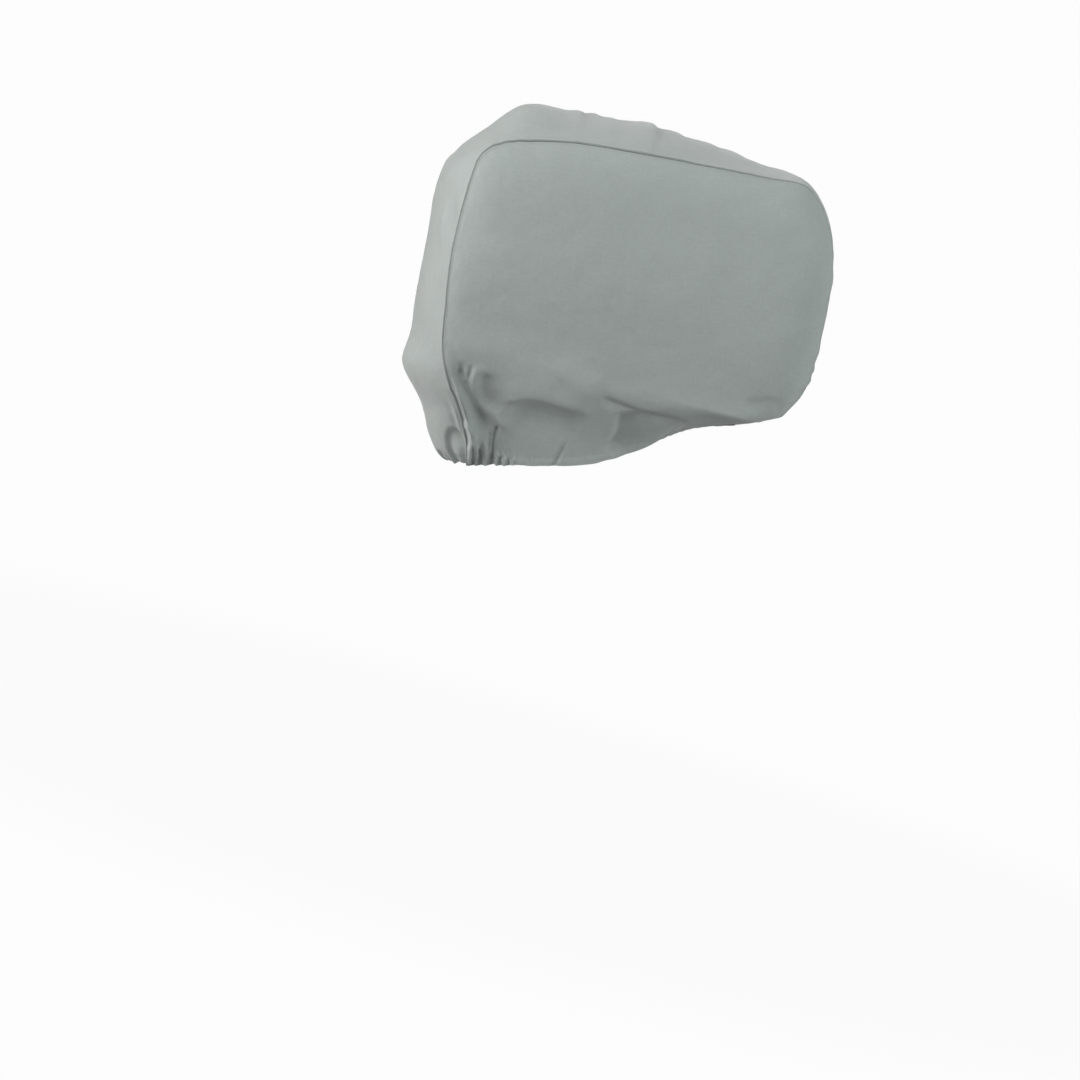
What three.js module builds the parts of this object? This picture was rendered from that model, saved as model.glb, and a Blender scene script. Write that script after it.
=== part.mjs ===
// Outboard motor cover in the shape in which it is worn, in millimetres.
// +X points forward, +Y to port and +Z up. The origin is on the inner face of the cloth, under the
// top of the cover and at the middle of its length, where what it covers carries it.
//
// The cover is sewn from three panels: one long gusset, which runs up the back, over the top and
// down the front, and two side panels. An elastic hem draws all three in underneath.

import * as THREE from 'three';
import { mergeVertices } from 'three/addons/utils/BufferGeometryUtils.js';

// Cloth
const CLOTH_THICKNESS = 2;
const SEAM_GAP = 0.3;
const CLOTH = { color: 0x9aa3a0, roughness: 0.88, metalness: 0 };

// Sections of the cover, from the aft hem up the back, over the top and down the front to the hem.
// centreX and centreZ are the middle of the gusset, seamX and seamZ its seam as seen from the side,
// and seamHalf is the distance of the seam from the middle plane. All are on the outer face.
const SECTIONS = [
  { at: 'aft hem', centreX: -207, centreZ: -650, seamX: -178, seamZ: -641, seamHalf: 90 },
  { at: 'gathers', centreX: -225, centreZ: -642, seamX: -187.5, seamZ: -618, seamHalf: 103.5 },
  { at: 'above the gathers', centreX: -245, centreZ: -620.5, seamX: -195.5, seamZ: -595, seamHalf: 116 },
  { at: 'lower back', centreX: -276, centreZ: -566, seamX: -225.5, seamZ: -548, seamHalf: 148 },
  { at: 'rim', centreX: -322, centreZ: -508, seamX: -260.5, seamZ: -502, seamHalf: 174 },
  { at: 'above the rim', centreX: -326, centreZ: -455, seamX: -284, seamZ: -455, seamHalf: 186 },
  { at: 'low back', centreX: -333, centreZ: -396, seamX: -298, seamZ: -390, seamHalf: 190 },
  { at: 'middle of the back', centreX: -342, centreZ: -295, seamX: -314, seamZ: -293, seamHalf: 192 },
  { at: 'high back', centreX: -351, centreZ: -182, seamX: -317, seamZ: -186, seamHalf: 190 },
  { at: 'aft shoulder', centreX: -328, centreZ: -129, seamX: -310, seamZ: -122, seamHalf: 188 },
  { at: 'aft corner', centreX: -288, centreZ: -75, seamX: -285, seamZ: -98.5, seamHalf: 186 },
  { at: 'aft crown', centreX: -244, centreZ: -24, seamX: -246, seamZ: -83, seamHalf: 187 },
  { at: 'aft top', centreX: -162, centreZ: -14, seamX: -170, seamZ: -64, seamHalf: 190 },
  { at: 'middle of the top', centreX: -22, centreZ: 2, seamX: -25, seamZ: -47, seamHalf: 190 },
  { at: 'fore top', centreX: 115, centreZ: -5, seamX: 110, seamZ: -36, seamHalf: 182 },
  { at: 'front dip', centreX: 178, centreZ: -12, seamX: 172, seamZ: -31, seamHalf: 174 },
  { at: 'front crown', centreX: 238, centreZ: -15, seamX: 231, seamZ: -26.5, seamHalf: 163 },
  { at: 'front corner', centreX: 273, centreZ: -34, seamX: 262, seamZ: -43.5, seamHalf: 156 },
  { at: 'front shoulder', centreX: 318, centreZ: -98, seamX: 303, seamZ: -100, seamHalf: 156 },
  { at: 'high front', centreX: 340, centreZ: -185, seamX: 325, seamZ: -185, seamHalf: 159 },
  { at: 'middle of the front', centreX: 347, centreZ: -290, seamX: 333, seamZ: -288, seamHalf: 160 },
  { at: 'low front', centreX: 343, centreZ: -364, seamX: 330, seamZ: -360, seamHalf: 158 },
  { at: 'chin', centreX: 314, centreZ: -420, seamX: 305, seamZ: -412, seamHalf: 150 },
  { at: 'under the chin', centreX: 270, centreZ: -448, seamX: 258, seamZ: -438, seamHalf: 130 },
  { at: 'front hem', centreX: 222, centreZ: -464, seamX: 200, seamZ: -461, seamHalf: 92 },
];

// The hem along one side, from its aft corner to its front corner.
const HEM = [
  { x: -178, z: -641, half: 90 },
  { x: -116, z: -620, half: 120 },
  { x: -50, z: -602, half: 136 },
  { x: 24, z: -575, half: 142 },
  { x: 94, z: -532, half: 138 },
  { x: 142, z: -491, half: 124 },
  { x: 200, z: -461, half: 92 },
];

// Where the lines of a side panel that start at a share of the seam end along the hem.
const FAN = [
  { corner: 'aft hem', seamShare: 0, hemShare: 0 },
  { corner: 'aft top', seamShare: 0.35, hemShare: 0.36 },
  { corner: 'front top', seamShare: 0.68, hemShare: 0.7 },
  { corner: 'front hem', seamShare: 1, hemShare: 1 },
];

// Steps along the seam: close along the back, whose lines end in the gathers, and wider elsewhere.
const SEAM_STEPS = [
  { along: 'back', upTo: 0.33, count: 34 },
  { along: 'aft corner', upTo: 0.38, count: 4 },
  { along: 'top', upTo: 0.66, count: 12 },
  { along: 'front corner', upTo: 0.76, count: 6 },
  { along: 'front', upTo: 1, count: 11 },
];
// Steps from the seam to the hem on a side panel: close over the folds of the tuck.
const SIDE_STEPS = [
  { along: 'shoulder', upTo: 0.16, count: 3 },
  { along: 'belly', upTo: 0.64, count: 5 },
  { along: 'tuck', upTo: 1, count: 12 },
];
const GUSSET_COLUMNS = 10;

// Form of a side panel between its seam and its hem: it bows out to its widest, narrows by the low
// draw between two heights, and is then drawn in from the start of the tuck.
const SIDE = {
  widestHalf: 219,
  lowDraw: 21,
  drawStartZ: -260,
  drawEndZ: -475,
  shoulderReach: 62,
  tuckStartZ: -432,
  seamFade: 16,
};

// Form of the gusset across its width
const CROWN_POWER = 2.2;

// Least part of a line that lies in the tuck, so that none divides by nothing at the corners
const LEAST_TUCK = 0.001;

// The two side panels. The port one has the same folds, less deep and a little further forward.
const SIDE_PANELS = [
  { name: 'side_panel_starboard', side: -1, foldDepth: 1, foldShift: 0, gatherPhase: 0 },
  { name: 'side_panel_port', side: 1, foldDepth: 0.8, foldShift: 14, gatherPhase: 2 },
];

// Folds of a side panel. The path is seen from the side, as x and z, and a trough has a negative
// height.
const SIDE_FOLDS = [
  { name: 'seam trough', height: -10, breadth: 14,
    path: [[-250, -466], [-234, -502], [-198, -538], [-150, -563]] },
  { name: 'gather fold', height: 6, breadth: 10,
    path: [[-218, -460], [-213, -511], [-176, -542], [-120, -562]] },
  { name: 'second trough', height: -7, breadth: 14, path: [[-201, -470], [-195, -508], [-152, -527]] },
  { name: 'bulge edge', height: 6, breadth: 14, path: [[-168, -510], [-128, -492], [-55, -488], [10, -488]] },
  { name: 'hollow under the bulge', height: -8, breadth: 22, path: [[-138, -532], [-80, -521], [-10, -520]] },
  { name: 'soft diagonal', height: 3, breadth: 20, path: [[-110, -424], [-30, -459]] },
  { name: 'slack over the tuck', height: -2, breadth: 24, path: [[-30, -424], [110, -438]] },
  { name: 'crease under the edge', height: -6, breadth: 10, path: [[-6, -466], [74, -471], [165, -465]] },
  { name: 'fore hollow', height: -8, breadth: 20, path: [[50, -490], [60, -515], [95, -505]] },
  { name: 'low front hollow', height: -3, breadth: 14, path: [[225, -410], [305, -388]] },
];

// Folds of the gusset: share of the seam and of the half-width, and how far they reach each way.
const GUSSET_FOLDS = [
  { name: 'puff at the starboard seam', height: 5, share: 0.014, across: -0.75, along: 0.016, breadth: 0.14 },
  { name: 'hollow over the puff', height: -6, share: 0.044, across: -0.7, along: 0.014, breadth: 0.22 },
  { name: 'puff at the port seam', height: 4, share: 0.016, across: 0.68, along: 0.015, breadth: 0.16 },
  { name: 'bend over the rim', height: 4, share: 0.115, across: 0.1, along: 0.02, breadth: 0.5 },
  { name: 'first ripple of the top', height: 3, share: 0.405, across: -0.1, along: 0.012, breadth: 0.5 },
  { name: 'second ripple of the top', height: 3, share: 0.47, across: 0.2, along: 0.014, breadth: 0.5 },
  { name: 'third ripple of the top', height: -3, share: 0.54, across: 0, along: 0.014, breadth: 0.6 },
];

// Gathers that the elastic draws along the hem of a side panel, by share of the hem.
const GATHERS = [
  { at: 'aft corner', from: 0.02, to: 0.2, pitch: 17, height: 4, reach: 30 },
  { at: 'aft side', from: 0.2, to: 0.4, pitch: 24, height: 2.5, reach: 30 },
  { at: 'under the side', from: 0.4, to: 0.74, pitch: 38, height: 3, reach: 26 },
  { at: 'front corner', from: 0.74, to: 0.98, pitch: 30, height: 2, reach: 18 },
];
const GATHER_FADE = 0.04;
const GUSSET_GATHERS = { waves: 3, height: 4, reach: 0.02 };

const MIRROR = new THREE.Vector3(1, -1, 1);

// Smooth rise from 0 to 1 between two limits.
function ease(value, from, to) {
  return THREE.MathUtils.smoothstep(value, from, to);
}

// Distance in the side view from a point to a path of straight pieces.
function distanceToPath(x, z, path) {
  const point = new THREE.Vector3(x, 0, z);
  const nearest = new THREE.Vector3();
  let least = Infinity;
  for (let i = 1; i < path.length; i += 1) {
    const [start, end] = [path[i - 1], path[i]].map(([px, pz]) => new THREE.Vector3(px, 0, pz));
    new THREE.Line3(start, end).closestPointToPoint(point, true, nearest);
    least = Math.min(least, nearest.distanceTo(point));
  }
  return least;
}

// Share of the hem at which the line from a share of the seam ends.
function hemShareAt(seamShare) {
  const next = Math.max(1, FAN.findIndex((corner) => corner.seamShare >= seamShare));
  const [a, b] = [FAN[next - 1], FAN[next]];
  return THREE.MathUtils.mapLinear(seamShare, a.seamShare, b.seamShare, a.hemShare, b.hemShare);
}

// Shares from 0 to 1 at the ends of a table's steps.
function stepShares(table) {
  const shares = [0];
  for (const { upTo, count } of table) {
    const from = shares[shares.length - 1];
    for (let i = 1; i <= count; i += 1) shares.push(from + ((upTo - from) * i) / count);
  }
  return shares;
}

// Guide curves of the port half; starboard is its mirror image.
const centreCurve = new THREE.CatmullRomCurve3(
  SECTIONS.map((section) => new THREE.Vector3(section.centreX, 0, section.centreZ)));
const seamCurve = new THREE.CatmullRomCurve3(
  SECTIONS.map((section) => new THREE.Vector3(section.seamX, section.seamHalf, section.seamZ)));
const hemCurve = new THREE.CatmullRomCurve3(
  HEM.map((point) => new THREE.Vector3(point.x, point.half, point.z)));

// One line of the side panel, from the seam to the hem, straight in the side view.
class FanLine extends THREE.Curve {
  constructor(seam, hem) {
    super();
    this.seam = seam;
    this.hem = hem;
    this.sideLength = Math.hypot(hem.x - seam.x, hem.z - seam.z);
    this.tuckAtSeam = this.tuck(seam.z);
  }

  // How far down the tuck a height lies: 0 at its start or above it, 1 at the hem.
  tuck(z) {
    return THREE.MathUtils.clamp((SIDE.tuckStartZ - z) / (SIDE.tuckStartZ - this.hem.z), 0, 1);
  }

  getPoint(t, target = new THREE.Vector3()) {
    target.lerpVectors(this.seam, this.hem, t);
    const rise = 1 - Math.exp((-t * this.sideLength) / SIDE.shoulderReach);
    const drawn = ease(SIDE.drawStartZ - target.z, 0, SIDE.drawStartZ - SIDE.drawEndZ);
    const belly = this.seam.y + (SIDE.widestHalf - SIDE.lowDraw * drawn - this.seam.y) * rise;
    const tuck = (this.tuck(target.z) - this.tuckAtSeam) / Math.max(1 - this.tuckAtSeam, LEAST_TUCK);
    target.y = belly + (this.hem.y - belly) * ease(tuck, 0, 1);
    return target;
  }
}

// Outward normals of a grid of points, whose columns follow each other along the cover.
function gridNormals(grid) {
  const last = grid.length - 1;
  return grid.map((column, i) => column.map((_, j) => {
    const c = THREE.MathUtils.clamp(i, 1, last - 1);
    const along = grid[c + 1][j].clone().sub(grid[c - 1][j]);
    const away = grid[c][Math.min(j + 1, column.length - 1)].clone().sub(grid[c][Math.max(j - 1, 0)]);
    return along.cross(away).normalize();
  }));
}

// Height of the cloth over its smooth form at one point of a side panel.
function sideRelief(panel, point, seamDistance, hemDistance, hemShare) {
  let relief = 0;
  for (const { height, breadth, path } of SIDE_FOLDS) {
    const distance = distanceToPath(point.x - panel.foldShift, point.z, path);
    relief += panel.foldDepth * height * Math.exp(-((distance / breadth) ** 2));
  }
  for (const { from, to, pitch, height, reach } of GATHERS) {
    const window = ease(hemShare, from, from + GATHER_FADE) * (1 - ease(hemShare, to - GATHER_FADE, to));
    const wave = Math.sin((2 * Math.PI * hemShare * hemCurve.getLength()) / pitch + panel.gatherPhase);
    relief += height * window * wave * Math.exp(-hemDistance / reach);
  }
  return relief * (1 - Math.exp(-((seamDistance / SIDE.seamFade) ** 2)));
}

// Height of the cloth over its smooth form at one point of the gusset.
function gussetRelief(share, across) {
  let relief = 0;
  for (const fold of GUSSET_FOLDS) {
    const d = Math.hypot((share - fold.share) / fold.along, (across - fold.across) / fold.breadth);
    relief += fold.height * Math.exp(-(d ** 2));
  }
  const hemShare = Math.min(share, 1 - share);
  relief += GUSSET_GATHERS.height * Math.sin(GUSSET_GATHERS.waves * Math.PI * across)
    * Math.exp(-hemShare / GUSSET_GATHERS.reach);
  return relief * (1 - across ** 4);
}

// Cloth of one panel: a thin box whose grid of vertices takes the places of its two faces.
function sheetMesh(name, outer, inner) {
  const columns = outer.length - 1;
  const rows = outer[0].length - 1;
  const box = new THREE.BoxGeometry(columns, rows, 1, columns, rows, 1);
  box.deleteAttribute('normal');
  box.deleteAttribute('uv');
  const positions = box.attributes.position;
  for (let v = 0; v < positions.count; v += 1) {
    const i = Math.round(positions.getX(v) + columns / 2);
    const j = Math.round(positions.getY(v) + rows / 2);
    const place = positions.getZ(v) > 0 ? outer[i][j] : inner[i][j];
    positions.setXYZ(v, place.x, place.y, place.z);
  }
  const geometry = withoutCollapsedTriangles(mergeVertices(box));
  geometry.computeVertexNormals();
  const mesh = new THREE.Mesh(geometry, new THREE.MeshStandardMaterial(CLOTH));
  mesh.name = name;
  return mesh;
}

// The same geometry without the triangles that merging its vertices has closed up.
function withoutCollapsedTriangles(geometry) {
  const source = geometry.index.array;
  const kept = [];
  for (let i = 0; i < source.length; i += 3) {
    const [a, b, c] = [source[i], source[i + 1], source[i + 2]];
    if (a !== b && b !== c && c !== a) kept.push(a, b, c);
  }
  geometry.setIndex(kept);
  return geometry;
}

// A line at either end of the seam, where the seam and the hem meet in one point.
function collapsed(fan) {
  return fan.sideLength < CLOTH_THICKNESS;
}

// Place of a column across the gusset, from -1 at starboard to 1 at port.
function acrossAt(k) {
  return (2 * k) / GUSSET_COLUMNS - 1;
}

// The mirror image of a grid, turned round so that its faces still point out.
function mirrored(grid) {
  return grid.map((column) => column.map((point) => point.clone().multiply(MIRROR))).reverse();
}

// The smooth form of the port half of the gusset and of the port side panel, on the same lines.
const lines = stepShares(SEAM_STEPS).map((share) => {
  const t = seamCurve.getUtoTmapping(share);
  const seam = seamCurve.getPoint(t);
  const hem = hemCurve.getPointAt(hemShareAt(share));
  return { share, seam, centre: centreCurve.getPoint(t), fan: new FanLine(seam, hem) };
});
const rowShares = stepShares(SIDE_STEPS);
const sideForm = lines.map(({ seam, fan }) => (
  rowShares.map((share) => (collapsed(fan) ? seam.clone() : fan.getPointAt(share)))));
const gussetForm = lines.map(({ seam, centre }) => (
  Array.from({ length: GUSSET_COLUMNS + 1 }, (_, k) => {
    const point = new THREE.Vector3().lerpVectors(centre, seam, Math.abs(acrossAt(k)) ** CROWN_POWER);
    point.y = acrossAt(k) * seam.y;
    return point;
  })));
const sideNormals = gridNormals(sideForm);
const gussetNormals = gridNormals(gussetForm);

// How the two panels meet at the seam: they are mitred, half the gap away from one plane.
const mitres = lines.map((_, i) => {
  const sideNormal = sideNormals[i][0];
  const out = sideNormal.clone().add(gussetNormals[i][GUSSET_COLUMNS]).normalize();
  const before = sideForm[Math.max(i - 1, 0)][0];
  const after = sideForm[Math.min(i + 1, lines.length - 1)][0];
  const intoSide = after.clone().sub(before).cross(out).normalize();
  const inner = THREE.MathUtils.clamp(i, 1, lines.length - 2);
  if (intoSide.dot(sideForm[inner][1].clone().sub(sideForm[inner][0])) < 0) intoSide.negate();
  return {
    depth: out.clone().multiplyScalar(CLOTH_THICKNESS / out.dot(sideNormal)),
    intoSide: intoSide.multiplyScalar(SEAM_GAP / 2),
  };
});

// One side panel. The form is that of the port side, and starboard is its mirror image.
function sidePanel(panel) {
  const outer = lines.map(({ share, fan }, i) => {
    const length = collapsed(fan) ? 0 : fan.getLength();
    return sideForm[i].map((point, j) => {
      if (j === 0 || collapsed(fan)) return point.clone().add(mitres[i].intoSide);
      const seamDistance = length * rowShares[j];
      const relief = sideRelief(panel, point, seamDistance, length - seamDistance, hemShareAt(share));
      return point.clone().addScaledVector(sideNormals[i][j], relief);
    });
  });
  const inner = outer.map((column, i) => column.map((point, j) => {
    if (j === 0 || collapsed(lines[i].fan)) return point.clone().sub(mitres[i].depth);
    return point.clone().addScaledVector(sideNormals[i][j], -CLOTH_THICKNESS);
  }));
  if (panel.side > 0) return sheetMesh(panel.name, outer, inner);
  return sheetMesh(panel.name, mirrored(outer), mirrored(inner));
}

// The gusset, mitred along both of its edges.
function gusset() {
  const atEdge = (k, vector) => (k === 0 ? vector.clone().multiply(MIRROR) : vector);
  const isEdge = (k) => k === 0 || k === GUSSET_COLUMNS;
  const outer = gussetForm.map((column, i) => column.map((point, k) => {
    if (isEdge(k)) return point.clone().sub(atEdge(k, mitres[i].intoSide));
    const relief = gussetRelief(lines[i].share, acrossAt(k));
    return point.clone().addScaledVector(gussetNormals[i][k], relief);
  }));
  const inner = outer.map((column, i) => column.map((point, k) => {
    if (isEdge(k)) return point.clone().sub(atEdge(k, mitres[i].depth));
    return point.clone().addScaledVector(gussetNormals[i][k], -CLOTH_THICKNESS);
  }));
  return sheetMesh('centre_gusset', outer, inner);
}

const cover = new THREE.Group();
cover.add(gusset());
for (const panel of SIDE_PANELS) cover.add(sidePanel(panel));

export default cover;
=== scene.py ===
"""Worn outboard motor cover of grey woven cloth, in metres, dressed around its solids.

+X points forward, +Y to port and +Z up. The cover is sewn from a long gusset, which runs up the back,
over the top and down the front, and from two side panels. An elastic hem gathers all three below.
"""

import logging
import math
import random
from dataclasses import dataclass, field
from enum import Enum

import bmesh
import bpy
import numpy as np
from mathutils import Matrix, Vector, noise


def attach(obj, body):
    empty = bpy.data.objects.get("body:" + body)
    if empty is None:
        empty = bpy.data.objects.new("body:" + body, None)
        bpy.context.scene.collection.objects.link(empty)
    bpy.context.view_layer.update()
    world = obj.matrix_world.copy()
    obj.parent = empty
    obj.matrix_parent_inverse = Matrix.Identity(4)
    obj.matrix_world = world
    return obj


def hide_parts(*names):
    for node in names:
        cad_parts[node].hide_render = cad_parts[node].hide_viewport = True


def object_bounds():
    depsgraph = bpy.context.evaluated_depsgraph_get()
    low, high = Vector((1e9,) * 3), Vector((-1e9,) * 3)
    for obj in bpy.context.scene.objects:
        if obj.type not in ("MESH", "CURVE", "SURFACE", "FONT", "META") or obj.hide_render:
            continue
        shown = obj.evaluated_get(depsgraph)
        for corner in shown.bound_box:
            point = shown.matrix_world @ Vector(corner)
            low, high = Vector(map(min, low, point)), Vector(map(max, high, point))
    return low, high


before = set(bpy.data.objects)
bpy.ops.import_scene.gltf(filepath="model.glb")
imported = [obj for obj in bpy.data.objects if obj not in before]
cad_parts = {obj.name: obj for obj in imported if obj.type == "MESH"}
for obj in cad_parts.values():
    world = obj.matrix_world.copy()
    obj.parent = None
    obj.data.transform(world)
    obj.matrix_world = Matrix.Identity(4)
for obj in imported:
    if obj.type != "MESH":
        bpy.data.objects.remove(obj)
SOLID_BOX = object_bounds()

log = logging.getLogger("cover")
Array = np.ndarray
Socket = bpy.types.NodeSocket


# Sizes of the form


@dataclass(frozen=True)
class Section:
    """Middle of the gusset and its seam at one place along the cover, on the outer face."""

    at: str
    centre_x: float
    centre_z: float
    seam_x: float
    seam_z: float
    seam_half: float


@dataclass(frozen=True)
class HemPoint:
    """Point of the hem along one side."""

    x: float
    z: float
    half: float


SECTIONS = (
    Section("aft hem", -0.207, -0.650, -0.178, -0.641, 0.090),
    Section("gathers", -0.225, -0.642, -0.1875, -0.618, 0.1035),
    Section("above the gathers", -0.245, -0.6205, -0.1955, -0.595, 0.116),
    Section("lower back", -0.276, -0.566, -0.2255, -0.548, 0.148),
    Section("rim", -0.322, -0.508, -0.2605, -0.502, 0.174),
    Section("above the rim", -0.326, -0.455, -0.284, -0.455, 0.186),
    Section("low back", -0.333, -0.396, -0.298, -0.390, 0.190),
    Section("middle of the back", -0.342, -0.295, -0.314, -0.293, 0.192),
    Section("high back", -0.351, -0.182, -0.317, -0.186, 0.190),
    Section("aft shoulder", -0.328, -0.129, -0.310, -0.122, 0.188),
    Section("aft corner", -0.288, -0.075, -0.285, -0.0985, 0.186),
    Section("aft crown", -0.244, -0.024, -0.246, -0.083, 0.187),
    Section("aft top", -0.162, -0.015, -0.170, -0.064, 0.190),
    Section("middle of the top", -0.022, -0.002, -0.025, -0.047, 0.190),
    Section("fore top", 0.115, -0.007, 0.110, -0.036, 0.182),
    Section("front dip", 0.178, -0.013, 0.172, -0.031, 0.174),
    Section("front crown", 0.238, -0.016, 0.231, -0.0265, 0.163),
    Section("front corner", 0.273, -0.034, 0.262, -0.0435, 0.156),
    Section("front shoulder", 0.318, -0.098, 0.303, -0.100, 0.156),
    Section("high front", 0.340, -0.185, 0.325, -0.185, 0.159),
    Section("middle of the front", 0.347, -0.290, 0.333, -0.288, 0.160),
    Section("low front", 0.343, -0.364, 0.330, -0.360, 0.158),
    Section("chin", 0.314, -0.420, 0.305, -0.412, 0.150),
    Section("under the chin", 0.270, -0.448, 0.258, -0.438, 0.130),
    Section("front hem", 0.222, -0.464, 0.200, -0.461, 0.092),
)

HEM = (
    HemPoint(-0.178, -0.641, 0.090),
    HemPoint(-0.116, -0.620, 0.120),
    HemPoint(-0.050, -0.602, 0.136),
    HemPoint(0.024, -0.575, 0.142),
    HemPoint(0.094, -0.532, 0.138),
    HemPoint(0.142, -0.491, 0.124),
    HemPoint(0.200, -0.461, 0.092),
)

# Where the lines of a side panel that start at a share of the seam end along the hem
FAN_SEAM_SHARES = (0.0, 0.35, 0.68, 1.0)
FAN_HEM_SHARES = (0.0, 0.36, 0.70, 1.0)

# Steps along the seam up to each share: close where the lines end in gathers or puckers
SEAM_STEPS = ((0.33, 150), (0.38, 20), (0.66, 94), (0.76, 28), (1.0, 74))

# Rows close to the seam and to the hem, by their distance from it
SEAM_ROWS = (0, 0.0006, 0.0012, 0.0018, 0.0025, 0.0033, 0.0042, 0.0052, 0.0064, 0.0078, 0.0095, 0.0115)
HEM_ROWS = (
    0, 0.0008, 0.0018, 0.003, 0.0045, 0.0062, 0.008, 0.010, 0.012, 0.0135, 0.0145, 0.0155, 0.0172, 0.020,
)
BAND_ROOM = 0.08
ROW_ROOM = 0.001
LINE_SAMPLES = 361
LEAST = 1e-6

# Cloth and sewing
CLOTH_THICKNESS = 0.0012
SEAM_GAP = 0.0003
SEAM_TURN = 0.008
SEAM_HOLD = 0.0040
GROOVE_DEPTH = 0.0028
GROOVE_WIDTH = 0.0019
RIDGE_PLACE = 0.0040
RIDGE_WIDTH = 0.0022
CASING_WIDTH = 0.0145
CASING_SWELL = 0.0005
CASING_FILL = 0.0024
STITCH_LINE_WIDTH = 0.0013
STITCH_LINE_DEPTH = 0.0002
HEM_LIFT = 0.0016
HEM_LIFT_PITCH = 0.021
HEM_LIFT_REACH = 0.018
HEM_LIFT_SHIFT = 7.3
LEAST_LEAN = 0.5

# One for each side, so that the creases of its seam go on across the gusset
STARBOARD_SEED, PORT_SEED = 1, 2


def ease(value: Array, start: float, end: float) -> Array:
    """Smooth rise from 0 at the start to 1 at the end, which may lie past the start or before it."""
    share = np.clip((value - start) / (end - start), 0, 1)
    return share * share * (3 - 2 * share)


def unit(vectors: Array) -> Array:
    """The vectors at length one."""
    return vectors / np.maximum(np.linalg.norm(vectors, axis=-1, keepdims=True), LEAST)


def smoothed_noise(points: Array, pitch: float, seed: float) -> Array:
    """Gentle unevenness at points, about from -1 to 1.

    Args:
        points: The points, with x, y and z last.
        pitch: How far apart its waves lie.
        seed: Shifts the pattern, so that two sheets differ.

    Returns:
        The unevenness of each point.
    """
    flat = points.reshape(-1, 3) / pitch + seed
    heights = [noise.noise(place) for place in flat.tolist()]
    return np.array(heights).reshape(points.shape[:-1])


class SmoothLine:
    """Smooth curve through chosen points, walked by its length."""

    DIVISIONS = 200

    def __init__(self, points: list[tuple[float, float, float]]) -> None:
        """Lays the curve through the points.

        Args:
            points: At least two points.
        """
        inner = np.array(points, dtype=float)
        self.spans = len(inner) - 1
        self.points = np.vstack([2 * inner[0] - inner[1], inner, 2 * inner[-1] - inner[-2]])
        self.steps = np.linspace(0, 1, self.DIVISIONS + 1)
        strides = np.linalg.norm(np.diff(self.at(self.steps), axis=0), axis=1)
        self.walked = np.concatenate([[0], np.cumsum(strides)])

    @property
    def length(self) -> float:
        """Length of the whole curve."""
        return float(self.walked[-1])

    def at(self, t: Array) -> Array:
        """Points at shares of the curve's spans.

        Args:
            t: Shares from 0 to 1, counted in spans and not in length.

        Returns:
            One point for each share.
        """
        place = np.clip(np.asarray(t) * self.spans, 0, self.spans)
        span = np.minimum(place.astype(int), self.spans - 1)
        w = (place - span)[:, None]
        p0, p1, p2, p3 = (self.points[span + k] for k in range(4))
        d0, d1, d2 = (
            np.sqrt(np.linalg.norm(b - a, axis=1, keepdims=True)) for a, b in ((p0, p1), (p1, p2), (p2, p3))
        )
        leave = ((p1 - p0) / d0 - (p2 - p0) / (d0 + d1) + (p2 - p1) / d1) * d1
        arrive = ((p2 - p1) / d1 - (p3 - p1) / (d1 + d2) + (p3 - p2) / d2) * d1
        return (
            p1 + leave * w + (3 * (p2 - p1) - 2 * leave - arrive) * w**2
            + (2 * (p1 - p2) + leave + arrive) * w**3
        )

    def t_at(self, share: Array) -> Array:
        """Shares of the spans that lie at shares of the length."""
        return np.interp(np.asarray(share) * self.length, self.walked, self.steps)


def walked_lengths(lines: Array) -> Array:
    """Distance walked to each point of many lines, from each line's start."""
    strides = np.linalg.norm(np.diff(lines, axis=1), axis=2)
    return np.concatenate([np.zeros((len(lines), 1)), np.cumsum(strides, axis=1)], axis=1)


def walk_along(lines: Array, distances: Array) -> Array:
    """Points at chosen distances along each of many lines.

    Args:
        lines: The lines, as line, sample and x, y, z.
        distances: The distances wanted, as line and place.

    Returns:
        The points, as line, place and x, y, z.
    """
    points = np.empty(distances.shape + (3,))
    for line, walked, wanted, row in zip(lines, walked_lengths(lines), distances, points):
        for axis in range(3):
            row[:, axis] = np.interp(wanted, walked, line[:, axis])
    return points


def banded(lengths: Array, near: tuple, far: tuple, middle: int, closing: float = 0.0) -> Array:
    """Distances along lines: close rows at both ends and regular steps between them.

    Args:
        lengths: The lines' lengths.
        near: Rows at the start, by their distance from it.
        far: Rows at the end, by their distance from it.
        middle: How many rows lie between.
        closing: How much shorter than the mean step the last ones are, and longer the first ones.

    Returns:
        The distances, as line and row.
    """
    scale = np.minimum(1, lengths / BAND_ROOM)[:, None]
    head = np.asarray(near) * scale
    tail = lengths[:, None] - np.asarray(far)[::-1] * scale
    step = np.linspace(0, 1, middle + 2)[1:-1]
    share = step * (1 + closing - closing * step)
    body = head[:, -1:] + (tail[:, :1] - head[:, -1:]) * share
    return np.hstack([head, body, tail])


def grid_normals(grid: Array) -> Array:
    """Normals of a grid of points: along its columns crossed with away from the first row."""
    along = np.gradient(grid, axis=0)
    away = np.gradient(grid, axis=1)
    normals = unit(np.cross(along, away))
    normals[0], normals[-1] = normals[1], normals[-2]
    return normals


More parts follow.
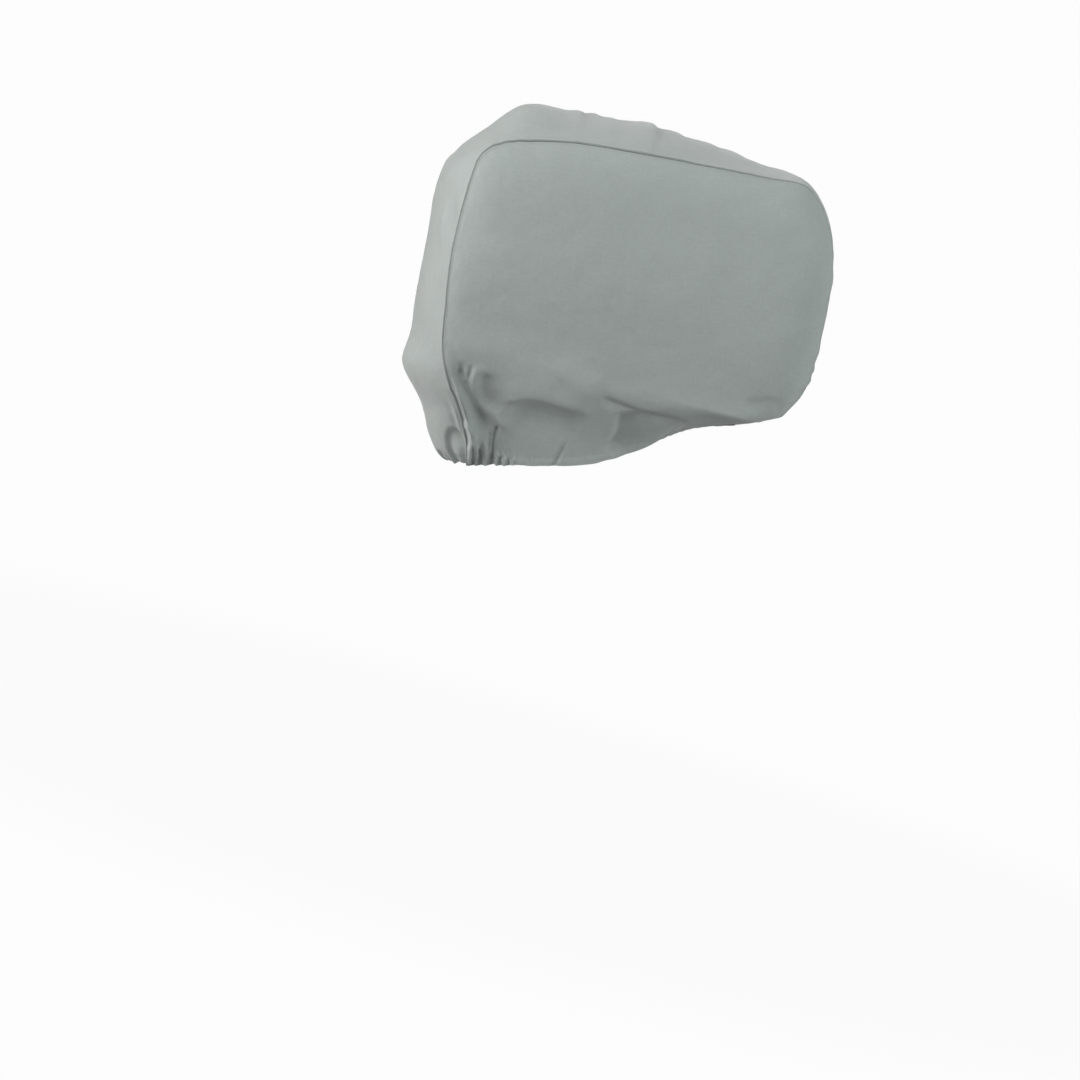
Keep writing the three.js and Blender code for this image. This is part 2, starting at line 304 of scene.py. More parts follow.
class CoverForm:
    """Smooth form that the cloth takes before its folds. It is the port half; starboard mirrors it."""

    WIDEST_HALF = 0.219
    BELLY_DRAW = 0.021
    BELLY_START_Z = -0.26
    BELLY_END_Z = -0.475
    SHOULDER_SHARES = (0.0, 0.33, 0.40, 0.62, 0.72, 1.0)
    SHOULDER_REACHES = (0.062, 0.062, 0.045, 0.045, 0.036, 0.036)
    TUCK_START_Z = -0.432
    LEAST_TUCK = 0.001
    CROWN_POWER = 2.2
    FRAME_SHARES = np.linspace(0.01, 0.99, 295)

    def __init__(self) -> None:
        """Lays the guide curves and works out how the panels meet at the seam."""
        self.centre = SmoothLine([(s.centre_x, 0, s.centre_z) for s in SECTIONS])
        self.seam = SmoothLine([(s.seam_x, s.seam_half, s.seam_z) for s in SECTIONS])
        self.hem = SmoothLine([(p.x, p.half, p.z) for p in HEM])
        self._meet_panels()

    def hem_shares(self, shares: Array) -> Array:
        """Shares of the hem where the lines from shares of the seam end."""
        return np.interp(shares, FAN_SEAM_SHARES, FAN_HEM_SHARES)

    def side_lines(self, shares: Array) -> Array:
        """Lines of the port side panel, straight in the side view, from the seam to the hem.

        Args:
            shares: Shares of the seam's length at which they start.

        Returns:
            The lines, as line, sample and x, y, z.
        """
        seam = self.seam.at(self.seam.t_at(shares))[:, None]
        hem = self.hem.at(self.hem.t_at(self.hem_shares(shares)))[:, None]
        t = np.linspace(0, 1, LINE_SAMPLES)[None, :, None]
        lines = seam + (hem - seam) * t
        side_length = np.hypot(hem[..., 0] - seam[..., 0], hem[..., 2] - seam[..., 2])
        reach = np.interp(shares, self.SHOULDER_SHARES, self.SHOULDER_REACHES)[:, None]
        rise = 1 - np.exp(-t[..., 0] * side_length / reach)
        drawn_in = ease(lines[..., 2], self.BELLY_START_Z, self.BELLY_END_Z)
        widest = self.WIDEST_HALF - self.BELLY_DRAW * drawn_in
        belly = seam[..., 1] + (widest - seam[..., 1]) * rise
        tuck = self._tuck(lines[..., 2], hem[..., 2])
        tuck_at_seam = self._tuck(seam[..., 2], hem[..., 2])
        share = (tuck - tuck_at_seam) / np.maximum(1 - tuck_at_seam, self.LEAST_TUCK)
        lines[..., 1] = belly + (hem[..., 1] - belly) * ease(share, 0, 1)
        return lines

    def gusset_lines(self, shares: Array) -> Array:
        """Lines across the gusset, from its starboard seam to its port seam.

        Args:
            shares: Shares of the seam's length at which they lie.

        Returns:
            The lines, as line, sample and x, y, z.
        """
        t = self.seam.t_at(shares)
        seam, centre = self.seam.at(t)[:, None], self.centre.at(t)[:, None]
        across = np.linspace(-1, 1, LINE_SAMPLES)[None, :, None]
        lines = centre + (seam - centre) * np.abs(across) ** self.CROWN_POWER
        lines[..., 1] = across[..., 0] * seam[..., 1]
        return lines

    def seam_frame(self, shares: Array) -> tuple[Array, Array]:
        """Way out of the seam and way into the side panel, on the port side.

        Args:
            shares: Shares of the seam's length.

        Returns:
            The two directions at each share.
        """
        found = []
        for table in (self.frame_out, self.frame_into):
            columns = [np.interp(shares, self.FRAME_SHARES, table[:, axis]) for axis in range(3)]
            found.append(unit(np.stack(columns, axis=-1)))
        return found[0], found[1]

    def _tuck(self, z: Array, hem_z: Array) -> Array:
        """How far down the tuck a height lies: 0 at its start and 1 at the hem."""
        return np.clip((self.TUCK_START_Z - z) / (self.TUCK_START_Z - hem_z), 0, 1)

    def _meet_panels(self) -> None:
        """Finds the seam's direction out, half way between the panels, and its direction into the side."""
        seam = self.seam.at(self.seam.t_at(self.FRAME_SHARES))
        along = unit(np.gradient(seam, axis=0))
        sides = self.side_lines(self.FRAME_SHARES)
        strips = self.gusset_lines(self.FRAME_SHARES)
        into_side = sides[:, 2] - sides[:, 0]
        across = strips[:, -1] - strips[:, -3]
        self.frame_out = unit(unit(np.cross(along, into_side)) + unit(np.cross(along, across)))
        across_seam = unit(np.cross(along, self.frame_out))
        turned = np.sign(np.sum(across_seam * into_side, axis=1, keepdims=True))
        self.frame_into = across_seam * turned


def seam_shares() -> Array:
    """Shares of the seam at which a sheet's columns lie."""
    shares, start = [0.0], 0.0
    for up_to, count in SEAM_STEPS:
        shares.extend(np.linspace(start, up_to, count + 1)[1:])
        start = up_to
    return np.array(shares)


# Folds


@dataclass(frozen=True)
class Fold:
    """Soft ridge or trough along a path that is seen from the side.

    A trough has a negative height. left and right say how far the fold reaches to each side of its path,
    crisp is 2 for a soft fold and less for a sharp one, and it grows and fades over shares of its length.
    """

    name: str
    height: float
    left: float
    right: float
    crisp: float
    grows: float
    fades: float
    path: tuple[tuple[float, float], ...]

    STRIDE = 0.002
    LEAST_STEPS = 24
    REACHES = 3

    def relief(self, x: Array, z: Array) -> Array:
        """Height of the fold at places in the side view.

        Args:
            x: Places along the cover.
            z: Their heights.

        Returns:
            The fold's height at each place.
        """
        line = SmoothLine([(px, 0, pz) for px, pz in self.path])
        shares = np.linspace(0, 1, max(self.LEAST_STEPS, int(line.length / self.STRIDE)))
        walk = line.at(line.t_at(shares))
        heading = unit(np.gradient(walk, axis=0))
        reach = self.REACHES * max(self.left, self.right)
        low, high = walk.min(axis=0) - reach, walk.max(axis=0) + reach
        near = (x > low[0]) & (x < high[0]) & (z > low[2]) & (z < high[2])
        dx, dz = x[near][:, None] - walk[:, 0], z[near][:, None] - walk[:, 2]
        apart = np.hypot(dx, dz)
        nearest = apart.argmin(axis=1)
        pick = (np.arange(len(nearest)), nearest)
        is_left = heading[nearest, 0] * dz[pick] - heading[nearest, 2] * dx[pick] > 0
        breadth = np.where(is_left, self.left, self.right)
        share = shares[nearest]
        ends = ease(share, 0, self.grows) * ease(share, 1, 1 - self.fades)
        found = np.zeros_like(x)
        found[near] = self.height * ends * np.exp(-((apart[pick] / breadth) ** self.crisp))
        return found


SIDE_FOLDS = (
    Fold("seam trough", -0.0090, 0.008, 0.027, 1.4, 0.22, 0.25,
         ((-0.250, -0.464), (-0.243, -0.484), (-0.234, -0.502), (-0.217, -0.520), (-0.198, -0.538),
          (-0.176, -0.553), (-0.148, -0.563))),
    Fold("gather fold", 0.0040, 0.012, 0.007, 1.8, 0.15, 0.30,
         ((-0.218, -0.458), (-0.219, -0.485), (-0.213, -0.511), (-0.197, -0.531), (-0.176, -0.542),
          (-0.150, -0.553), (-0.118, -0.562))),
    Fold("small ridge", 0.0024, 0.005, 0.005, 2.0, 0.30, 0.30, ((-0.238, -0.474), (-0.229, -0.504))),
    Fold("dimple", -0.0022, 0.004, 0.004, 2.0, 0.30, 0.30, ((-0.229, -0.466), (-0.227, -0.496))),
    Fold("second trough", -0.0070, 0.020, 0.010, 1.8, 0.20, 0.35,
         ((-0.203, -0.472), (-0.202, -0.492), (-0.195, -0.509), (-0.179, -0.522), (-0.150, -0.528))),
    Fold("bulge edge", 0.0065, 0.036, 0.007, 1.7, 0.20, 0.35,
         ((-0.171, -0.517), (-0.152, -0.509), (-0.128, -0.498), (-0.102, -0.493), (-0.055, -0.494),
          (0.012, -0.493))),
    Fold("hollow under the bulge", -0.0072, 0.018, 0.028, 2.0, 0.20, 0.25,
         ((-0.140, -0.530), (-0.085, -0.519), (-0.010, -0.519))),
    Fold("soft diagonal", 0.0026, 0.026, 0.013, 2.0, 0.30, 0.20,
         ((-0.110, -0.424), (-0.064, -0.449), (-0.030, -0.459), (-0.002, -0.460))),
    Fold("slack over the tuck", -0.0022, 0.030, 0.016, 2.0, 0.30, 0.30,
         ((-0.030, -0.424), (0.040, -0.434), (0.110, -0.438))),
    Fold("crease under the edge", -0.0060, 0.0045, 0.010, 1.5, 0.12, 0.25,
         ((-0.008, -0.463), (0.027, -0.467), (0.074, -0.471), (0.119, -0.468), (0.168, -0.464))),
    Fold("fore hollow", -0.0110, 0.045, 0.010, 2.0, 0.20, 0.30,
         ((0.036, -0.478), (0.044, -0.500), (0.046, -0.524), (0.034, -0.552))),
    Fold("low front hollow", -0.0032, 0.008, 0.016, 2.0, 0.25, 0.25,
         ((0.225, -0.410), (0.263, -0.397), (0.305, -0.388))),
    Fold("notch at the hem", -0.0036, 0.004, 0.004, 2.0, 0.40, 0.10,
         ((-0.034, -0.548), (-0.039, -0.576), (-0.046, -0.618))),
)

# Gathers of the aft corner, drawn in by the elastic; they end past the hem
CORNER_FOLDS = (
    Fold("flare from the seam", 0.0030, 0.0040, 0.0035, 2.0, 0.20, 0.20,
         ((-0.216, -0.566), (-0.203, -0.577), (-0.191, -0.585), (-0.178, -0.594))),
    Fold("edge at the seam's foot", 0.0020, 0.0030, 0.0030, 2.0, 0.20, 0.05,
         ((-0.192, -0.600), (-0.185, -0.618), (-0.175, -0.650))),
    Fold("first valley", -0.0026, 0.0026, 0.0026, 2.0, 0.25, 0.05, ((-0.185, -0.604), (-0.167, -0.648))),
    Fold("first ridge", 0.0032, 0.0030, 0.0032, 2.0, 0.20, 0.05, ((-0.180, -0.598), (-0.162, -0.646))),
    Fold("second valley", -0.0032, 0.0030, 0.0030, 2.0, 0.20, 0.05, ((-0.172, -0.604), (-0.154, -0.645))),
    Fold("second ridge", 0.0040, 0.0032, 0.0034, 2.0, 0.18, 0.05,
         ((-0.169, -0.590), (-0.160, -0.606), (-0.146, -0.644))),
    Fold("long crease", -0.0060, 0.0042, 0.0036, 1.6, 0.12, 0.05,
         ((-0.154, -0.556), (-0.153, -0.579), (-0.149, -0.600), (-0.138, -0.640))),
    Fold("short crease", -0.0034, 0.0034, 0.0034, 1.8, 0.20, 0.30, ((-0.162, -0.572), (-0.155, -0.610))),
    Fold("third ridge", 0.0034, 0.0030, 0.0030, 2.0, 0.25, 0.05, ((-0.141, -0.600), (-0.131, -0.640))),
    Fold("third valley", -0.0030, 0.0026, 0.0026, 2.0, 0.25, 0.05, ((-0.133, -0.606), (-0.125, -0.638))),
    Fold("fourth ridge", 0.0028, 0.0028, 0.0028, 2.0, 0.25, 0.05, ((-0.126, -0.603), (-0.119, -0.637))),
    Fold("fourth valley", -0.0022, 0.0026, 0.0026, 2.0, 0.25, 0.05, ((-0.118, -0.606), (-0.113, -0.634))),
    Fold("fifth ridge", 0.0022, 0.0028, 0.0028, 2.0, 0.25, 0.05, ((-0.111, -0.602), (-0.107, -0.632))),
    Fold("sixth ridge", 0.0015, 0.0040, 0.0040, 2.0, 0.25, 0.05, ((-0.098, -0.598), (-0.096, -0.628))),
)


@dataclass(frozen=True)
class StripFold:
    """Ridge or trough of the gusset, by its share of the seam and its place across, from -1 to 1."""

    name: str
    height: float
    share: float
    across: float
    along: float
    breadth: float
    lean: float = 0.0

    def relief(self, share: Array, across: Array) -> Array:
        """Height of the fold at shares of the seam and places across, from -1 at starboard to 1 at port."""
        off = share - self.share - self.lean * (across - self.across)
        return self.height * np.exp(-((off / self.along) ** 2 + ((across - self.across) / self.breadth) ** 2))


GUSSET_FOLDS = (
    StripFold("edge at the starboard seam's foot", 0.0034, 0.010, -0.965, 0.018, 0.030),
    StripFold("edge over the starboard foot", 0.0022, 0.062, -0.930, 0.020, 0.024),
    StripFold("hollow beside that edge", -0.0022, 0.056, -0.850, 0.022, 0.040),
    StripFold("edge at the port seam's foot", 0.0028, 0.012, 0.965, 0.020, 0.030),
    StripFold("bend over the rim", 0.004, 0.115, 0.1, 0.020, 0.5),
    StripFold("slack over the rim", -0.003, 0.150, -0.35, 0.022, 0.4, 0.010),
    StripFold("slack under the shoulder", -0.003, 0.290, -0.2, 0.020, 0.6, 0.02),
    StripFold("slack on the shoulder", 0.003, 0.322, 0.3, 0.014, 0.5, -0.03),
    StripFold("crease at the aft corner", -0.0022, 0.336, -0.15, 0.004, 0.55, -0.010),
    StripFold("hollow by the high back seam", -0.0055, 0.272, -0.80, 0.016, 0.10, 0.03),
    StripFold("edge of that hollow", 0.0028, 0.262, -0.62, 0.018, 0.09, 0.05),
    StripFold("edge over the aft seam", 0.0020, 0.395, -0.925, 0.022, 0.022),
)


@dataclass(frozen=True)
class Puff:
    """Pillow of slack cloth that the elastic draws in beside the foot of a seam."""

    name: str
    share: float
    across: float
    along: float
    breadth: float
    sink: float
    dome: float

    DOME_SHARE = 0.6
    RIM = (1.15, 0.75)

    def relief(self, share: Array, across: Array) -> Array:
        """Height of the puff at shares of the seam and places across, from -1 at starboard to 1 at port."""
        apart = np.hypot((share - self.share) / self.along, (across - self.across) / self.breadth)
        return self.dome * np.exp(-((apart / self.DOME_SHARE) ** 2)) - self.sink * ease(apart, *self.RIM)


PUFFS = (
    Puff("starboard", 0.016, -0.77, 0.030, 0.21, 0.0080, 0.0060),
    Puff("port", 0.016, 0.70, 0.024, 0.23, 0.0070, 0.0050),
    Puff("middle", 0.006, -0.25, 0.016, 0.20, 0.0045, 0.0030),
)


@dataclass(frozen=True)
class Ripple:
    """Wave of the top's slack cloth: a slow rise forward and a quick drop."""

    name: str
    start: float
    crest: float
    foot: float
    height: float
    across: float
    breadth: float
    lean: float

    def relief(self, x: Array, across: Array) -> Array:
        """Height of the ripple at places of the top.

        Args:
            x: Places along the cover.
            across: Places across, from -1 at starboard to 1 at port.

        Returns:
            The ripple's height at each place.
        """
        place = x - self.lean * across
        reach = np.exp(-(((across - self.across) / self.breadth) ** 2))
        return self.height * reach * ease(place, self.start, self.crest) * ease(place, self.foot, self.crest)


TOP_RIPPLES = (
    Ripple("first", -0.176, -0.151, -0.142, 0.0032, -0.10, 0.60, 0.010),
    Ripple("second", -0.144, -0.125, -0.114, 0.0028, 0.15, 0.50, -0.008),
    Ripple("third", -0.112, -0.096, -0.084, 0.0016, -0.20, 0.50, 0.012),
    Ripple("fourth", -0.086, -0.026, -0.013, 0.0058, 0.00, 0.75, 0.010),
    Ripple("fifth", -0.010, 0.012, 0.031, 0.0028, -0.15, 0.50, -0.010),
    Ripple("sixth", 0.038, 0.078, 0.099, 0.0026, 0.10, 0.60, 0.012),
    Ripple("seventh", 0.100, 0.122, 0.146, 0.0022, 0.00, 0.50, -0.010),
)


@dataclass(frozen=True)
class Run:
    """Stretch of the hem or of a seam along which elastic or thread draws the cloth into ridges."""

    at: str
    start: float
    end: float
    pitch: float
    height: float
    reach: float


@dataclass(frozen=True)
class Gathering:
    """How elastic or thread draws cloth into uneven ridges.

    pitch, height and reach are the least and the most, as shares of a run's own sizes, and width is a
    share of the pitch. near says how many widths and reaches a ridge is followed for. flank is the depth
    beside it, and edge is its height at the line itself and what comes to that away from the line.
    """

    pitch: tuple[float, float]
    height: tuple[float, float]
    reach: tuple[float, float]
    width: float
    near: tuple[float, float]
    lean: float = 0.0
    flank: float = 0.0
    fade_power: float = 1.0
    edge: tuple[float, float] = (1.0, 0.0)

    FLANK_WIDTHS = 2.2
    EDGE_REACH = 0.009

    def relief(self, runs: tuple[Run, ...], length: float, seed: int, along: Array, away: Array) -> Array:
        """Height of the ridges of some runs.

        Args:
            runs: The runs, by shares of the line they lie on.
            length: The line's length.
            seed: Settles the unevenness.
            along: Distance along the line.
            away: Distance from it.

        Returns:
            The height at each place.
        """
        found = np.zeros_like(along)
        for place, width, height, reach, lean in self._ridges(runs, length, seed):
            near = (np.abs(along - place) < self.near[0] * width) & (away < self.near[1] * reach)
            off = along[near] - place - lean * away[near]
            flank = self.flank * np.exp(-((off / (self.FLANK_WIDTHS * width)) ** 2))
            rise = np.exp(-((off / width) ** 2)) - flank
            edge = self.edge[0] + self.edge[1] * ease(away[near], 0, self.EDGE_REACH)
            found[near] += height * rise * (np.exp(-((away[near] / reach) ** self.fade_power)) * edge)
        return found

    def _ridges(self, runs: tuple[Run, ...], length: float, seed: int) -> list[tuple[float, ...]]:
        """Place, width, height, reach and lean of each ridge, spaced unevenly along its run."""
        draw = random.Random(seed)
        found = []
        for run in runs:
            place = run.start * length
            while place < run.end * length:
                pitch = run.pitch * draw.uniform(*self.pitch)
                height = run.height * draw.uniform(*self.height)
                reach = run.reach * draw.uniform(*self.reach)
                lean = draw.uniform(-self.lean, self.lean) if self.lean else 0.0
                found.append((place + pitch / 2, self.width * pitch, height, reach, lean))
                place += pitch
        return found


HEM_GATHERING = Gathering(
    (0.72, 1.35), (0.55, 1.3), (0.55, 1.45), 0.30, (6, 2.6),
    lean=0.16, flank=0.5, fade_power=1.8, edge=(0.55, 0.45),
)
SEAM_GATHERING = Gathering((0.65, 1.5), (-0.6, 1.25), (0.6, 1.6), 0.34, (4, 4))

SIDE_GATHERS = (
    Run("aft corner", 0.01, 0.19, 0.006, 0.0022, 0.026),
    Run("aft side", 0.19, 0.40, 0.017, 0.0012, 0.020),
    Run("under the side", 0.40, 0.74, 0.022, 0.0011, 0.018),
    Run("front corner", 0.74, 0.995, 0.014, 0.0022, 0.024),
)
GUSSET_GATHERS = (
    Run("starboard corner", 0.0, 0.30, 0.0125, 0.0040, 0.022),
    Run("middle", 0.30, 0.70, 0.016, 0.0028, 0.022),
    Run("port corner", 0.70, 1.0, 0.0125, 0.0040, 0.024),
)


SEAM_PUCKERS = (
    Run("lower back", 0.02, 0.11, 0.016, 0.0012, 0.014),
    Run("back", 0.11, 0.30, 0.028, 0.0007, 0.018),
    Run("aft corner", 0.30, 0.38, 0.020, 0.0013, 0.022),
    Run("top", 0.38, 0.64, 0.030, 0.0007, 0.018),
    Run("fore top", 0.50, 0.63, 0.014, 0.0007, 0.006),
    Run("front corner", 0.64, 0.74, 0.022, 0.0009, 0.018),
    Run("front", 0.74, 0.86, 0.036, 0.0030, 0.024),
    Run("low front", 0.86, 0.94, 0.020, 0.0030, 0.022),
    Run("chin", 0.94, 0.985, 0.016, 0.0020, 0.018),
)


def seam_hold(away: Array, reach: float) -> Array:
    """How far the seam lets the cloth leave its smooth form: 0 at the seam and 1 away from it."""
    return 1 - np.exp(-((away / reach) ** 2))


def hem_lift(along: Array, from_hem: Array, seed: int) -> Array:
    """Small rise and fall of the hem's edge, none where it meets a seam.

    Args:
        along: Distance along the hem, as column and row or the other way round.
        from_hem: Distance from the hem.
        seed: Shifts the waves, so that two hems differ.

    Returns:
        The lift at each place.
    """
    held = ease(along, 0, HEM_LIFT_PITCH) * ease(along.max() - along, 0, HEM_LIFT_PITCH)
    zero = np.zeros_like(along)
    waves = smoothed_noise(np.stack([along, zero, zero], axis=-1), HEM_LIFT_PITCH, HEM_LIFT_SHIFT + seed)
    return HEM_LIFT * waves * held * np.exp(-from_hem / HEM_LIFT_REACH)


def seam_relief(away: Array, ridge: float) -> Array:
    """Groove of the seam and the low ridge of its turned-in edge, by the distance from the seam."""
    groove = GROOVE_DEPTH * np.exp(-((away / GROOVE_WIDTH) ** 2))
    return ridge * np.exp(-(((away - RIDGE_PLACE) / RIDGE_WIDTH) ** 2)) - groove


def casing_relief(away: Array) -> Array:
    """Swelling of the hem over its elastic, and the line where it is stitched."""
    inside = np.clip(away / CASING_WIDTH, 0, 1)
    swell = CASING_SWELL * np.sin(math.pi * inside) ** 2
    line = STITCH_LINE_DEPTH * np.exp(-(((away - CASING_WIDTH) / STITCH_LINE_WIDTH) ** 2))
    return swell - line


def casing_thickness(away: Array) -> Array:
    """Thickness of the cloth, with the elastic inside the hem."""
    inside = np.clip(away / CASING_WIDTH, 0, 1)
    return CLOTH_THICKNESS + CASING_FILL * np.sqrt(np.sin(math.pi * inside))


@dataclass(frozen=True)
class Slack:
    """Unevenness of the cloth between its seams: height, pitch and shift of each kind of wave."""

    waves: tuple[tuple[float, float, float], ...]
    seam_fade: float = 0.016

    def relief(self, smooth: Array, away: Array, seed: int) -> Array:
        """Height of the unevenness at places of the smooth form, held down beside the seam."""
        waves = (height * smoothed_noise(smooth, pitch, shift + seed) for height, pitch, shift in self.waves)
        return sum(waves) * seam_hold(away, self.seam_fade)


SIDE_SLACK = Slack(((0.0026, 0.115, 0.0), (0.0009, 0.034, 3.0), (0.00035, 0.013, 5.0)))
GUSSET_SLACK = Slack(((0.0024, 0.10, 0.0), (0.0008, 0.032, 3.0), (0.00035, 0.013, 5.0)))


# Sheets


def lay_cloth(
    smooth: Array, relief: Array, way_out: Array, away: Array, from_hem: Array
) -> tuple[Array, Array, Array]:
    """Lays the cloth over its smooth form, turned to the seam's way out where it meets it.

    Args:
        smooth: The smooth form.
        relief: Height of the cloth over it.
        way_out: Way out of the seam.
        away: Distance from the seam.
        from_hem: Distance from the hem.

    Returns:
        The outer face, its ways out and the step from it to the inner face.
    """
    normals = grid_normals(smooth)
    turn = ease(away, 0, SEAM_TURN)[..., None]
    ways = unit(way_out * (1 - turn) + normals * turn)
    thick = casing_thickness(from_hem)[..., None]
    lean = np.maximum(np.sum(way_out * normals, axis=2, keepdims=True), LEAST_LEAN)
    return smooth + ways * relief[..., None], ways, ways * thick / (turn + (1 - turn) * lean)


def add_object(name: str, data: bpy.types.ID) -> bpy.types.Object:
    """Adds an object to the scene."""
    item = bpy.data.objects.new(name, data)
    bpy.context.scene.collection.objects.link(item)
    return item


class Side(Enum):
    """Side of the cover on which a panel lies, with its direction along Y."""

    STARBOARD = -1
    PORT = 1


@dataclass
class Sheet:
    """Closed sheet of cloth between two grids of points."""

    name: str
    outer: Array
    inner: Array
    flat: Array
    marks: dict[str, Array]
    turned: bool

    def build(self) -> bpy.types.Object:
        """Makes the sheet's object.

        Returns:
            The object, with its flat cut as UV map and its marks as attributes.
        """
        columns, rows = self.outer.shape[:2]
        points = np.vstack([self.outer.reshape(-1, 3), self.inner.reshape(-1, 3)])
        faces, inside = self._faces(columns, rows)
        mesh = bpy.data.meshes.new(self.name)
        mesh.from_pydata(points.tolist(), [], faces.tolist())
        cloth = add_object(self.name, mesh)
        corners = np.empty(len(mesh.loops), dtype=np.int32)
        mesh.loops.foreach_get("vertex_index", corners)
        flat = np.tile(self.flat.reshape(-1, 2), (2, 1))
        mesh.uv_layers.new(name="flat_cut").data.foreach_set("uv", flat[corners].ravel())
        for name, values in self.marks.items():
            mark = mesh.attributes.new(name, "FLOAT", "POINT")
            mark.data.foreach_set("value", np.tile(values.ravel(), 2).astype(np.float32))
        mesh.polygons.foreach_set("material_index", inside.astype(np.int32))
        self._close(mesh)
        return cloth

    def flat_size(self) -> tuple[tuple[float, float], float]:
        """Width, length and area of the flat cut.

        Returns:
            (width, length) and the area.
        """
        corner = self.flat.reshape(-1, 2)
        width, length = (corner.max(axis=0) - corner.min(axis=0)).tolist()
        down = self.flat[1:, 1:] - self.flat[:-1, :-1]
        up = self.flat[:-1, 1:] - self.flat[1:, :-1]
        area = np.abs(down[..., 0] * up[..., 1] - down[..., 1] * up[..., 0]).sum() / 2
        return (width, length), float(area)

    def _faces(self, columns: int, rows: int) -> tuple[Array, Array]:
        """Faces of both sides of the cloth and of its rim, and which of them lie inside the cover."""
        index = np.arange(columns * rows).reshape(columns, rows)
        under = index + columns * rows

        def strip(a: Array, b: Array, c: Array, d: Array) -> Array:
            """Faces from the arrays of their four corners."""
            return np.stack([a, b, c, d], axis=-1).reshape(-1, 4)

        outside = strip(index[:-1, :-1], index[1:, :-1], index[1:, 1:], index[:-1, 1:])
        inside = strip(under[:-1, :-1], under[:-1, 1:], under[1:, 1:], under[1:, :-1])
        rims = [
            strip(index[1:, 0], index[:-1, 0], under[:-1, 0], under[1:, 0]),
            strip(index[:-1, -1], index[1:, -1], under[1:, -1], under[:-1, -1]),
            strip(index[0, :-1], index[0, 1:], under[0, 1:], under[0, :-1]),
            strip(index[-1, 1:], index[-1, :-1], under[-1, :-1], under[-1, 1:]),
        ]
        faces = np.vstack([outside, inside, *rims])
        is_inside = np.zeros(len(faces), dtype=bool)
        is_inside[len(outside) : len(outside) + len(inside)] = True
        return (faces[:, ::-1] if self.turned else faces), is_inside

    def _close(self, mesh: bpy.types.Mesh) -> None:
        """Merges the corners where the seam and the hem meet, and smooths the cloth."""
        shape = bmesh.new()
        shape.from_mesh(mesh)
        bmesh.ops.remove_doubles(shape, verts=shape.verts, dist=LEAST)
        bmesh.ops.dissolve_degenerate(shape, edges=shape.edges, dist=LEAST)
        shape.to_mesh(mesh)
        shape.free()
        mesh.polygons.foreach_set("use_smooth", np.ones(len(mesh.polygons), dtype=bool))
        mesh.update()


@dataclass
class SewnLine:
    """Line on the cloth that a row of stitches follows, with the cloth's normals along it."""

    points: Array
    normals: Array


@dataclass
class SidePanel:
    """One of the two side panels."""

    name: str
    side: Side
    fold_depth: float
    fold_shift: float
    seed: int
    middle_rows: int = 106
    row_closing: float = 0.42
    ridge: float = 0.0011
    stitch_row: int = 8

    def build(self, form: CoverForm) -> tuple[Sheet, SewnLine, SewnLine]:
        """Shapes the panel.

        Args:
            form: The smooth form that the cloth follows.

        Returns:
            The sheet, its line of seam stitches and its line of hem stitches.
        """
        shares = seam_shares()
        lines = form.side_lines(shares)
        lengths = walked_lengths(lines)[:, -1]
        away = banded(lengths, SEAM_ROWS, HEM_ROWS, self.middle_rows, self.row_closing)
        smooth = walk_along(lines, away)
        from_hem = lengths[:, None] - away
        relief = self._relief(form, shares, smooth, away, from_hem)
        out, into = form.seam_frame(shares)
        outer, ways, step = lay_cloth(smooth, relief, out[:, None], away, from_hem)
        outer[:, 0] += into * SEAM_GAP / 2
        inner = outer - step
        lift = hem_lift(self._hem_along(form, shares, away), from_hem, self.seed)
        for grid in (outer, inner):
            grid[..., 2] += lift
        flat = self._flat(lines, away)
        for grid in (outer, inner, ways):
            grid[..., 1] *= self.side.value
        marks = {"from_seam": away, "from_hem": from_hem, "relief": relief}
        sheet = Sheet(self.name, outer, inner, flat, marks, self.side is Side.STARBOARD)
        hem_row = outer.shape[1] - 1 - HEM_ROWS.index(CASING_WIDTH)
        seam_line = SewnLine(outer[:, self.stitch_row], ways[:, self.stitch_row])
        return sheet, seam_line, SewnLine(outer[:, hem_row], ways[:, hem_row])

    def _relief(self, form: CoverForm, shares: Array, smooth: Array, away: Array, from_hem: Array) -> Array:
        """Height of the cloth over its smooth form: folds, gathers, puckers, seam and hem."""
        x, z = smooth[..., 0] - self.fold_shift, smooth[..., 2]
        folds = self.fold_depth * sum(fold.relief(x, z) for fold in SIDE_FOLDS + CORNER_FOLDS)
        hem_along = self._hem_along(form, shares, away)
        gathers = HEM_GATHERING.relief(SIDE_GATHERS, form.hem.length, self.seed, hem_along, from_hem)
        held = (folds + gathers) * seam_hold(away, SEAM_HOLD)
        soft = SIDE_SLACK.relief(smooth, away, self.seed)
        length = form.seam.length
        seam_along = np.broadcast_to(shares[:, None] * length, away.shape)
        puckers = SEAM_GATHERING.relief(SEAM_PUCKERS, length, self.seed, seam_along, away)
        return held + soft + puckers + seam_relief(away, self.ridge) + casing_relief(from_hem)

    def _hem_along(self, form: CoverForm, shares: Array, away: Array) -> Array:
        """Distance along the hem of each place's line."""
        return np.broadcast_to(form.hem_shares(shares)[:, None] * form.hem.length, away.shape)

    def _flat(self, lines: Array, away: Array) -> Array:
        """The flat cut: each line starts on the seam's side view and keeps its own length."""
        start = lines[:, 0][:, [0, 2]]
        heading = unit(lines[:, -1][:, [0, 2]] - start)
        heading[0], heading[-1] = heading[1], heading[-2]
        return start[:, None] + heading[:, None] * away[..., None]


